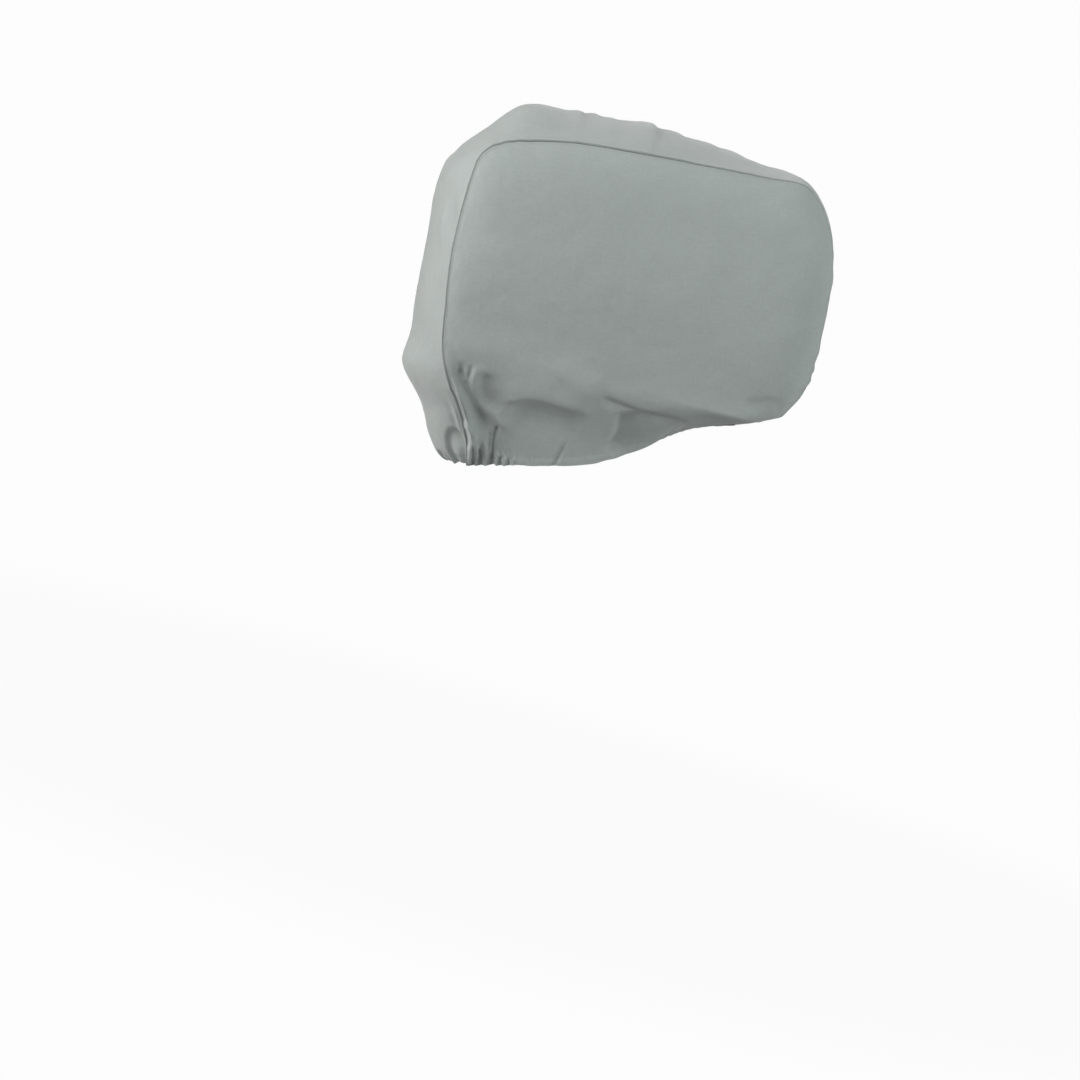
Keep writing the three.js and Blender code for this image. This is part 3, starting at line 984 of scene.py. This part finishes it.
@dataclass
class Gusset:
    """Long strip between the side panels."""

    name: str = "gusset_cloth"
    middle_columns: int = 84
    ridge: float = 0.0008
    ripple_low_z: float = -0.11
    ripple_high_z: float = -0.06
    seed: int = 3

    def build(self, form: CoverForm) -> tuple[Sheet, SewnLine, SewnLine]:
        """Shapes the gusset.

        Args:
            form: The smooth form that the cloth follows.

        Returns:
            The sheet and its lines of hem stitches, aft and front.
        """
        shares = self._shares(form)
        lines = form.gusset_lines(shares)
        lengths = walked_lengths(lines)[:, -1]
        place = banded(lengths, SEAM_ROWS, SEAM_ROWS, self.middle_columns)
        smooth = walk_along(lines, place)
        away = np.minimum(place, lengths[:, None] - place)
        strides = np.linalg.norm(np.diff(smooth, axis=0), axis=2)
        from_aft = np.concatenate([np.zeros((1, place.shape[1])), np.cumsum(strides, axis=0)])
        from_hem = np.minimum(from_aft, from_aft[-1] - from_aft)
        relief = self._relief(form, shares, smooth, place, away, from_hem)
        out, into = form.seam_frame(shares)
        mirror = np.array([1, -1, 1])
        is_port = (place > lengths[:, None] / 2)[..., None]
        way_out = np.where(is_port, out[:, None], out[:, None] * mirror)
        outer, ways, step = lay_cloth(smooth, relief, way_out, away, from_hem)
        outer[:, -1] -= into * SEAM_GAP / 2
        outer[:, 0] -= into * mirror * SEAM_GAP / 2
        inner = outer - step
        lift = hem_lift(self._hem_along(shares, place), from_hem, self.seed)
        for grid in (outer, inner):
            grid[..., 2] += lift
        middle = from_aft[:, [from_aft.shape[1] // 2]]
        flat = np.stack([place - lengths[:, None] / 2, np.broadcast_to(middle, place.shape)], axis=-1)
        marks = {"from_seam": away, "from_hem": from_hem, "relief": relief}
        sheet = Sheet(self.name, outer, inner, flat, marks, False)
        row = HEM_ROWS.index(CASING_WIDTH)
        aft = SewnLine(outer[row], ways[row])
        return sheet, aft, SewnLine(outer[-1 - row], ways[-1 - row])

    def _shares(self, form: CoverForm) -> Array:
        """Shares of the seam at which the gusset's rows lie, close at both hems."""
        ends = np.asarray(HEM_ROWS) / form.seam.length
        middle = seam_shares()
        middle = middle[(middle > ends[-1] + ROW_ROOM) & (middle < 1 - ends[-1] - ROW_ROOM)]
        return np.concatenate([ends, middle, 1 - ends[::-1]])

    def _relief(
        self, form: CoverForm, shares: Array, smooth: Array, place: Array, away: Array, from_hem: Array
    ) -> Array:
        """Height of the cloth over its smooth form: folds, gathers, puckers, seam and hem."""
        across = 2 * place / place[:, -1:] - 1
        share = np.broadcast_to(shares[:, None], place.shape)
        folds = sum(fold.relief(share, across) for fold in GUSSET_FOLDS + PUFFS)
        is_top = ease(smooth[..., 2], self.ripple_low_z, self.ripple_high_z)
        folds += is_top * sum(ripple.relief(smooth[..., 0], across) for ripple in TOP_RIPPLES)
        hem_along = self._hem_along(shares, place)
        gathers = np.zeros_like(place)
        for seed, row, is_end in ((self.seed, 0, shares < 0.5), (self.seed + 1, -1, shares >= 0.5)):
            gathers[is_end] = HEM_GATHERING.relief(
                GUSSET_GATHERS, place[row, -1], seed, hem_along[is_end], from_hem[is_end]
            )
        held = (folds + gathers) * seam_hold(away, SEAM_HOLD)
        soft = GUSSET_SLACK.relief(smooth, away, self.seed)
        seam_along = share * form.seam.length
        puckers = np.zeros_like(place)
        for seed, is_side in ((STARBOARD_SEED, across < 0), (PORT_SEED, across >= 0)):
            puckers[is_side] = SEAM_GATHERING.relief(
                SEAM_PUCKERS, form.seam.length, seed, seam_along[is_side], away[is_side]
            )
        return held + soft + puckers + seam_relief(away, self.ridge) + casing_relief(from_hem)

    def _hem_along(self, shares: Array, place: Array) -> Array:
        """Distance along the hem from the starboard seam, aft or at the front, of each place's column."""
        width = np.where(shares < 0.5, place[0, -1], place[-1, -1])[:, None]
        return place / place[:, -1:] * width


# Sewing


@dataclass
class Stitching:
    """Rows of stitches that lie on the cloth."""

    name: str
    lines: list[SewnLine]
    pitch: float = 0.0042
    length: float = 0.0034
    thread: float = 0.0005
    dip: float = 0.0004
    sunk_from: float = 0.4
    stand: float = 0.2
    sides: int = 8
    rings: int = 6

    def build(self) -> bpy.types.Object:
        """Makes all the stitches as one object.

        Returns:
            The object.
        """
        model = self._stitch()
        shape = np.array([vertex.co for vertex in model.data.vertices])
        faces = [tuple(face.vertices) for face in model.data.polygons]
        bpy.data.objects.remove(model)
        points, joined = [], []
        for line in self.lines:
            for place, heading, normal in self._places(line):
                side = np.cross(normal, heading)
                start = len(points) * len(shape)
                points.append(place + shape @ np.stack([heading, side, normal]))
                joined.extend(tuple(corner + start for corner in face) for face in faces)
        mesh = bpy.data.meshes.new(self.name)
        mesh.from_pydata(np.vstack(points).tolist(), [], joined)
        mesh.polygons.foreach_set("use_smooth", np.ones(len(mesh.polygons), dtype=bool))
        return add_object(self.name, mesh)

    def _stitch(self) -> bpy.types.Object:
        """Models one stitch along X, with its ends sunk into the cloth."""
        bpy.ops.object.select_all(action="DESELECT")
        bpy.ops.mesh.primitive_uv_sphere_add(segments=self.sides, ring_count=self.rings, radius=0.5)
        stitch = bpy.context.object
        bpy.ops.object.mode_set(mode="EDIT")
        bpy.ops.mesh.select_all(action="SELECT")
        bpy.ops.transform.rotate(value=math.pi / 2, orient_axis="Y", center_override=(0, 0, 0))
        bpy.ops.transform.resize(value=(self.length, self.thread, self.thread))
        bpy.ops.object.mode_set(mode="OBJECT")
        for vertex in stitch.data.vertices:
            vertex.select = abs(vertex.co.x) > self.length * self.sunk_from
        bpy.ops.object.mode_set(mode="EDIT")
        bpy.ops.transform.translate(value=(0, 0, -self.dip))
        bpy.ops.object.mode_set(mode="OBJECT")
        return stitch

    def _places(self, line: SewnLine) -> list[tuple[Array, Array, Array]]:
        """Place, heading and normal of each stitch along a line."""
        walked = walked_lengths(line.points[None])[0]
        count = int(walked[-1] / self.pitch)
        wanted = (np.arange(count) + 0.5) * self.pitch
        keep = np.concatenate([[True], np.diff(walked) > LEAST])

        def pick(values: Array, places: Array) -> Array:
            """Values at distances along the line."""
            columns = [np.interp(places, walked[keep], values[keep, axis]) for axis in range(3)]
            return np.stack(columns, axis=-1)

        places = pick(line.points, wanted)
        half = self.length / 2
        headings = unit(pick(line.points, wanted + half) - pick(line.points, wanted - half))
        normals = pick(line.normals, wanted)
        normals = unit(normals - headings * np.sum(normals * headings, axis=1, keepdims=True))
        return list(zip(places + normals * self.thread * self.stand, headings, normals))


# Finishes


class Bench:
    """Node tree of one material, with short ways to add to it."""

    def __init__(self, name: str) -> None:
        """Starts a material with its shader and output only."""
        self.material = bpy.data.materials.new(name)
        self.material.use_nodes = True
        self.tree = self.material.node_tree
        self.shader = self.tree.nodes["Principled BSDF"]

    def add(self, kind: str, **settings: object) -> bpy.types.Node:
        """Adds a node and gives it settings."""
        node = self.tree.nodes.new(kind)
        for key, value in settings.items():
            setattr(node, key, value)
        return node

    def feed(self, socket: Socket, value: object) -> None:
        """Links a socket to another's output, or sets it to a value."""
        if isinstance(value, Socket):
            self.tree.links.new(value, socket)
        else:
            socket.default_value = value

    def math(self, operation: str, *values: object) -> Socket:
        """Result of one sum on sockets or numbers."""
        node = self.add("ShaderNodeMath", operation=operation)
        for socket, value in zip(node.inputs, values):
            self.feed(socket, value)
        return node.outputs[0]

    def noise(self, place: Socket, scale: tuple, detail: float = 2.0) -> Socket:
        """Even noise from -0.5 to 0.5, with its own scale along each axis."""
        mapping = self.add("ShaderNodeMapping")
        mapping.inputs["Scale"].default_value = scale
        self.feed(mapping.inputs["Vector"], place)
        texture = self.add("ShaderNodeTexNoise")
        texture.inputs["Scale"].default_value = 1.0
        texture.inputs["Detail"].default_value = detail
        self.feed(texture.inputs["Vector"], mapping.outputs[0])
        return self.math("SUBTRACT", texture.outputs["Fac"], 0.5)

    def bump(self, height: Socket, depth: float, under: Socket | None = None) -> Socket:
        """Normal of a surface that a height of this depth roughens, over another such normal."""
        node = self.add("ShaderNodeBump")
        node.inputs["Strength"].default_value = 1.0
        node.inputs["Distance"].default_value = depth
        self.feed(node.inputs["Height"], height)
        if under is not None:
            self.feed(node.inputs["Normal"], under)
        return node.outputs[0]

    def mix(self, share: Socket, first: Socket, second: Socket) -> Socket:
        """Mix of two shaders."""
        node = self.add("ShaderNodeMixShader")
        for socket, value in zip(node.inputs, (share, first, second)):
            self.feed(socket, value)
        return node.outputs[0]

    def mark(self, name: str) -> Socket:
        """Value of one of the sheet's own attributes."""
        return self.add("ShaderNodeAttribute", attribute_name=name).outputs["Fac"]

    def near(self, name: str, reach: float) -> Socket:
        """1 where a distance among the sheet's attributes is 0, less as it grows."""
        return self.math("EXPONENT", self.math("MULTIPLY", self.mark(name), -1 / reach))

    def both_ways(self, place: Socket, across: float, along: float) -> Socket:
        """Noise of long thin marks that run both ways of the weave."""
        return self.math("ADD", self.noise(place, (across, along, 1)), self.noise(place, (along, across, 1)))

    def split(self, place: Socket) -> bpy.types.bpy_prop_collection:
        """The parts of a place along its axes."""
        node = self.add("ShaderNodeSeparateXYZ")
        self.feed(node.inputs[0], place)
        return node.outputs

    def tint(self, colour: tuple[float, float, float], shade: Socket) -> None:
        """Colours the surface, made lighter or darker by a shade."""
        scaled = self.add("ShaderNodeVectorMath", operation="SCALE")
        scaled.inputs[0].default_value = colour
        self.feed(scaled.inputs["Scale"], shade)
        self.feed(self.shader.inputs["Base Color"], scaled.outputs[0])


@dataclass(frozen=True)
class ClothFinish:
    """Plain-woven grey cloth, on its outer face or on its coated back."""

    name: str
    colour: tuple[float, float, float]
    roughness: float
    sheen: float
    weave_depth: float
    weave_tint: float
    thread_pitch: float = 0.0007
    slub_tint: float = 0.10
    streak_tint: float = 0.11
    mottle_tint: float = 0.10
    # Relief tint: raised cloth lighter as wear, troughs and creases darker as painted shade
    wear_and_trough_shade_gain: float = 6.0
    wear_and_trough_shade_limit: float = 0.006
    # Painted shade in the seam groove, falling off with the distance from the seam
    painted_groove_shade: float = 0.80
    painted_groove_shade_reach: float = 0.0014
    hem_shade: float = 0.06
    hem_reach: float = 0.03
    dent_depth: float = 0.0006
    dent_scale: float = 110
    slub_scales: tuple[float, float] = (1300, 40)
    streak_scales: tuple[float, float] = (330, 45)
    blotch_scales: tuple[float, float] = (9, 3)
    thread_crown: float = 0.6
    slub_height: float = 0.8
    specular: float = 0.25
    sheen_roughness: float = 0.45
    fine_detail: float = 3.0

    def build(self) -> bpy.types.Material:
        """Makes the material.

        Returns:
            The material.
        """
        bench = Bench(self.name)
        flat = bench.add("ShaderNodeUVMap", uv_map="flat_cut").outputs[0]
        waves = [
            bench.math("SINE", bench.math("MULTIPLY", part, math.pi / self.thread_pitch))
            for part in bench.split(flat)[:2]
        ]
        crossing = bench.math("MULTIPLY", *waves)
        weave = bench.math("POWER", bench.math("ABSOLUTE", crossing), self.thread_crown)
        slub = bench.both_ways(flat, *self.slub_scales)
        streak = bench.both_ways(flat, *self.streak_scales)
        hollows = bench.noise(flat, (self.dent_scale, self.dent_scale, 1), self.fine_detail)
        dents = bench.bump(hollows, self.dent_depth)
        height = bench.math("ADD", weave, bench.math("MULTIPLY", slub, self.slub_height))
        bench.feed(bench.shader.inputs["Normal"], bench.bump(height, self.weave_depth, dents))
        bench.tint(self.colour, self._shade(bench, crossing, slub, streak))
        bench.shader.inputs["Roughness"].default_value = self.roughness
        bench.shader.inputs["Specular IOR Level"].default_value = self.specular
        bench.shader.inputs["Sheen Weight"].default_value = self.sheen
        bench.shader.inputs["Sheen Roughness"].default_value = self.sheen_roughness
        return bench.material

    def _shade(self, bench: Bench, crossing: Socket, slub: Socket, streak: Socket) -> Socket:
        """How much lighter or darker than its colour the cloth is, about 1, with painted shade in troughs and
        in the seam groove.
        """
        place = bench.add("ShaderNodeTexCoord").outputs["Object"]
        fine, coarse = self.blotch_scales
        blotch = bench.math(
            "ADD", bench.noise(place, (fine,) * 3, self.fine_detail), bench.noise(place, (coarse,) * 3)
        )
        # Painted shade: darker in troughs and creases by the cloth's relief; lighter on raised folds as wear
        raised = bench.math("MAXIMUM", bench.mark("relief"), -self.wear_and_trough_shade_limit)
        worn_and_trough_shaded = bench.math("MINIMUM", raised, self.wear_and_trough_shade_limit)
        shade = 1.0
        for part, gain in (
            (blotch, self.mottle_tint),
            (slub, self.slub_tint),
            (streak, self.streak_tint),
            (crossing, self.weave_tint),
            (worn_and_trough_shaded, self.wear_and_trough_shade_gain),
        ):
            shade = bench.math("MULTIPLY_ADD", part, gain, shade)
        # Painted shade in the seam groove; darker near the hem
        for name, reach, gain in (
            ("from_seam", self.painted_groove_shade_reach, -self.painted_groove_shade),
            ("from_hem", self.hem_reach, -self.hem_shade),
        ):
            darker = bench.math("MULTIPLY_ADD", bench.near(name, reach), gain, 1.0)
            shade = bench.math("MULTIPLY", shade, darker)
        return shade


@dataclass(frozen=True)
class ThreadFinish:
    """Polyester thread in the colour of the cloth, twisted."""

    name: str
    colour: tuple[float, float, float]
    roughness: float = 0.6
    twist_pitch: float = 0.0006
    twist_tint: float = 0.12

    def build(self) -> bpy.types.Material:
        """Makes the material.

        Returns:
            The material.
        """
        bench = Bench(self.name)
        x, y, z = bench.split(bench.add("ShaderNodeTexCoord").outputs["Object"])
        slant = bench.math("ADD", bench.math("ADD", x, y), z)
        twist = bench.math("SINE", bench.math("MULTIPLY", slant, 2 * math.pi / self.twist_pitch))
        bench.tint(self.colour, bench.math("MULTIPLY_ADD", twist, self.twist_tint, 1.0))
        bench.shader.inputs["Roughness"].default_value = self.roughness
        return bench.material


CLOTH_COLOUR = (0.305, 0.346, 0.333)
OUTER_CLOTH = ClothFinish("grey_woven_cloth", CLOTH_COLOUR, 0.85, 0.25, 0.00012, 0.05)
COATED_BACK = ClothFinish("coated_back", (0.36, 0.385, 0.375), 0.55, 0.0, 0.00005, 0.03)
THREAD = ThreadFinish("grey_thread", (0.36, 0.395, 0.38))


# Setting


@dataclass(frozen=True)
class PhotoCamera:
    """Camera at the photograph's viewing angle."""

    azimuth: float = -7.0
    elevation: float = 2.0
    roll: float = 16.0
    distance: float = 9.0
    frame_width: float = 1.858
    sensor: float = 36.0
    looked_at: tuple[float, float, float] = (0.0, 0.0, -0.310)
    aim_right: float = -0.014
    aim_up: float = -0.737
    sight: float = 200

    def build(self) -> None:
        """Makes the camera and makes it the scene's."""
        a, e = math.radians(self.azimuth), math.radians(self.elevation)
        right = Vector((math.cos(a), math.sin(a), 0))
        back = Vector((math.sin(a) * math.cos(e), -math.cos(a) * math.cos(e), math.sin(e)))
        place = Vector(self.looked_at) + back * self.distance
        aim = right * self.aim_right + back.cross(right) * self.aim_up
        axis = (place - aim).normalized()
        level = Vector((0, 0, 1)).cross(axis).normalized()
        upright = Matrix((level, axis.cross(level), axis)).transposed().to_4x4()
        lens = bpy.data.cameras.new("photo_camera")
        lens.sensor_width = self.sensor
        lens.lens = self.sensor * self.distance / self.frame_width
        lens.clip_end = self.sight
        camera = add_object("photo_camera", lens)
        camera.matrix_world = (
            Matrix.Translation(place) @ upright @ Matrix.Rotation(math.radians(self.roll), 4, "Z")
        )
        bpy.context.scene.camera = camera


@dataclass(frozen=True)
class SoftBox:
    """Large soft lamp that points at the cover."""

    name: str
    towards: tuple[float, float, float]
    distance: float
    size: float
    power: float
    colour: tuple[float, float, float] = (1.0, 1.0, 1.0)

    def build(self, centre: Vector) -> None:
        """Places the lamp.

        Args:
            centre: What it points at.
        """
        data = bpy.data.lights.new(self.name, "AREA")
        data.shape = "DISK"
        data.size = self.size
        data.energy = self.power
        data.color = self.colour
        lamp = add_object(self.name, data)
        way = Vector(self.towards).normalized()
        lamp.location = centre + way * self.distance
        lamp.rotation_euler = way.to_track_quat("Z", "Y").to_euler()


@dataclass(frozen=True)
class Studio:
    """Plain pale floor and soft light around the cover."""

    floor_drop: float = 0.55
    floor_size: float = 120.0
    floor_colour: float = 0.36
    floor_roughness: float = 0.9
    floor_glow: float = 0.95
    backdrop: float = 0.98
    ambient: float = 0.15
    fade_start: float = 0.9
    fade_end: float = 2.2
    lamps: tuple[SoftBox, ...] = (
        SoftBox("key_lamp", (-0.80, -0.50, 0.30), 3.6, 2.6, 104.0, (1.02, 0.99, 0.99)),
        SoftBox("aft_lamp", (-0.95, -0.12, 0.28), 3.6, 2.6, 68.0, (1.06, 0.98, 0.98)),
        SoftBox("fore_lamp", (0.80, -0.52, 0.28), 3.6, 2.6, 90.0),
        SoftBox("top_lamp", (-0.10, -0.15, 1.0), 3.6, 2.6, 25.0),
        SoftBox("far_lamp", (0.30, 0.90, 0.30), 3.6, 2.6, 60.0),
    )

    def build(self) -> None:
        """Makes the floor, the lamps and the surroundings."""
        low, high = SOLID_BOX
        centre = (low + high) / 2
        bpy.ops.object.select_all(action="DESELECT")
        bpy.ops.mesh.primitive_plane_add(size=self.floor_size, location=(0, 0, low.z - self.floor_drop))
        floor = bpy.context.object
        floor.name = "floor"
        bpy.ops.object.transform_apply(location=True, rotation=False, scale=False)
        floor.data.materials.append(self._floor_material())
        for lamp in self.lamps:
            lamp.build(centre)
        self._surroundings()
        bpy.context.scene.view_settings.view_transform = "Standard"

    def _floor_material(self) -> bpy.types.Material:
        """Pale floor that fades into the backdrop away from the cover, and is clear from below."""
        bench = Bench("pale_floor")
        bench.shader.inputs["Base Color"].default_value = (*(self.floor_colour,) * 3, 1)
        bench.shader.inputs["Roughness"].default_value = self.floor_roughness
        bench.shader.inputs["Specular IOR Level"].default_value = 0.0
        place = bench.add("ShaderNodeTexCoord").outputs["Object"]
        flat = bench.add("ShaderNodeVectorMath", operation="MULTIPLY")
        flat.inputs[1].default_value = (1, 1, 0)
        bench.feed(flat.inputs[0], place)
        length = bench.add("ShaderNodeVectorMath", operation="LENGTH")
        bench.feed(length.inputs[0], flat.outputs[0])
        fade = bench.add("ShaderNodeMapRange", interpolation_type="SMOOTHSTEP")
        for name, value in (
            ("From Min", self.fade_start),
            ("From Max", self.fade_end),
            ("To Min", self.floor_glow),
            ("To Max", 1.0),
        ):
            fade.inputs[name].default_value = value
        bench.feed(fade.inputs["Value"], length.outputs["Value"])
        glow = bench.add("ShaderNodeEmission")
        glow.inputs["Color"].default_value = (*(self.backdrop,) * 3, 1)
        seen = bench.add("ShaderNodeLightPath").outputs["Is Camera Ray"]
        glowing = bench.math("MULTIPLY", fade.outputs[0], seen)
        pale = bench.mix(glowing, bench.shader.outputs[0], glow.outputs[0])
        below = bench.add("ShaderNodeNewGeometry").outputs["Backfacing"]
        clear = bench.add("ShaderNodeBsdfTransparent").outputs[0]
        bench.feed(bench.tree.nodes["Material Output"].inputs["Surface"], bench.mix(below, pale, clear))
        return bench.material

    def _surroundings(self) -> None:
        """White backdrop, and softer light from it than it shows."""
        world = bpy.data.worlds.new("surroundings")
        bpy.context.scene.world = world
        world.use_nodes = True
        tree = world.node_tree
        backdrop = tree.nodes["Background"]
        backdrop.inputs["Color"].default_value = (*(self.backdrop,) * 3, 1)
        light = tree.nodes.new("ShaderNodeBackground")
        light.inputs["Strength"].default_value = self.ambient
        ray = tree.nodes.new("ShaderNodeLightPath")
        mix = tree.nodes.new("ShaderNodeMixShader")
        tree.links.new(ray.outputs["Is Camera Ray"], mix.inputs[0])
        tree.links.new(light.outputs[0], mix.inputs[1])
        tree.links.new(backdrop.outputs[0], mix.inputs[2])
        tree.links.new(mix.outputs[0], tree.nodes["World Output"].inputs["Surface"])


# Cover


@dataclass
class Cover:
    """The whole cover: its three sheets and its sewing."""

    form: CoverForm = field(default_factory=CoverForm)
    gusset: Gusset = field(default_factory=Gusset)
    panels: tuple[SidePanel, ...] = (
        SidePanel("starboard_cloth", Side.STARBOARD, 1.0, 0.0, STARBOARD_SEED),
        SidePanel("port_cloth", Side.PORT, 0.8, 0.014, PORT_SEED),
    )

    def build(self) -> None:
        """Builds and dresses every piece, and logs each one."""
        outer, back, thread = OUTER_CLOTH.build(), COATED_BACK.build(), THREAD.build()
        strip, *hem_lines = self.gusset.build(self.form)
        gusset = self._dress(strip.build(), "centre_gusset", outer, back)
        sewn = []
        for panel in self.panels:
            sheet, seam_line, hem_line = panel.build(self.form)
            side = panel.side.name.lower()
            cloth = self._dress(sheet.build(), f"side_panel_{side}", outer, back)
            seam = Stitching(f"seam_stitches_{side}", [seam_line]).build()
            self._sew(seam, thread)
            sewn.append((cloth, sheet, seam))
            hem_lines.append(hem_line)
        hem = Stitching("hem_stitches", hem_lines).build()
        self._sew(hem, thread)
        size, area = strip.flat_size()
        log.info("%s: flat %.3f x %.3f m, %.3f m2", gusset.name, *size, area)
        for cloth, sheet, seam in sewn:
            size, area = sheet.flat_size()
            log.info("%s: flat %.3f x %.3f m, %.3f m2", cloth.name, *size, area)

    def _dress(
        self, cloth: bpy.types.Object, node: str, outer: bpy.types.Material, back: bpy.types.Material
    ) -> bpy.types.Object:
        """Gives a sheet its finishes and lets it stand for its solid."""
        cloth.data.materials.append(outer)
        cloth.data.materials.append(back)
        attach(cloth, "root")
        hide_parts(node)
        log.info("%s stands for %s: %d faces", cloth.name, node, len(cloth.data.polygons))
        return cloth

    def _sew(self, sewing: bpy.types.Object, thread: bpy.types.Material) -> None:
        """Gives a row of stitches its thread."""
        sewing.data.materials.append(thread)
        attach(sewing, "root")
        log.info("%s: %d faces", sewing.name, len(sewing.data.polygons))


def main() -> None:
    """Builds the cover, its setting and the camera."""
    logging.basicConfig(level=logging.INFO, format="%(name)s: %(message)s")
    PhotoCamera().build()
    Cover().build()
    Studio().build()


if __name__ == "__main__":
    main()
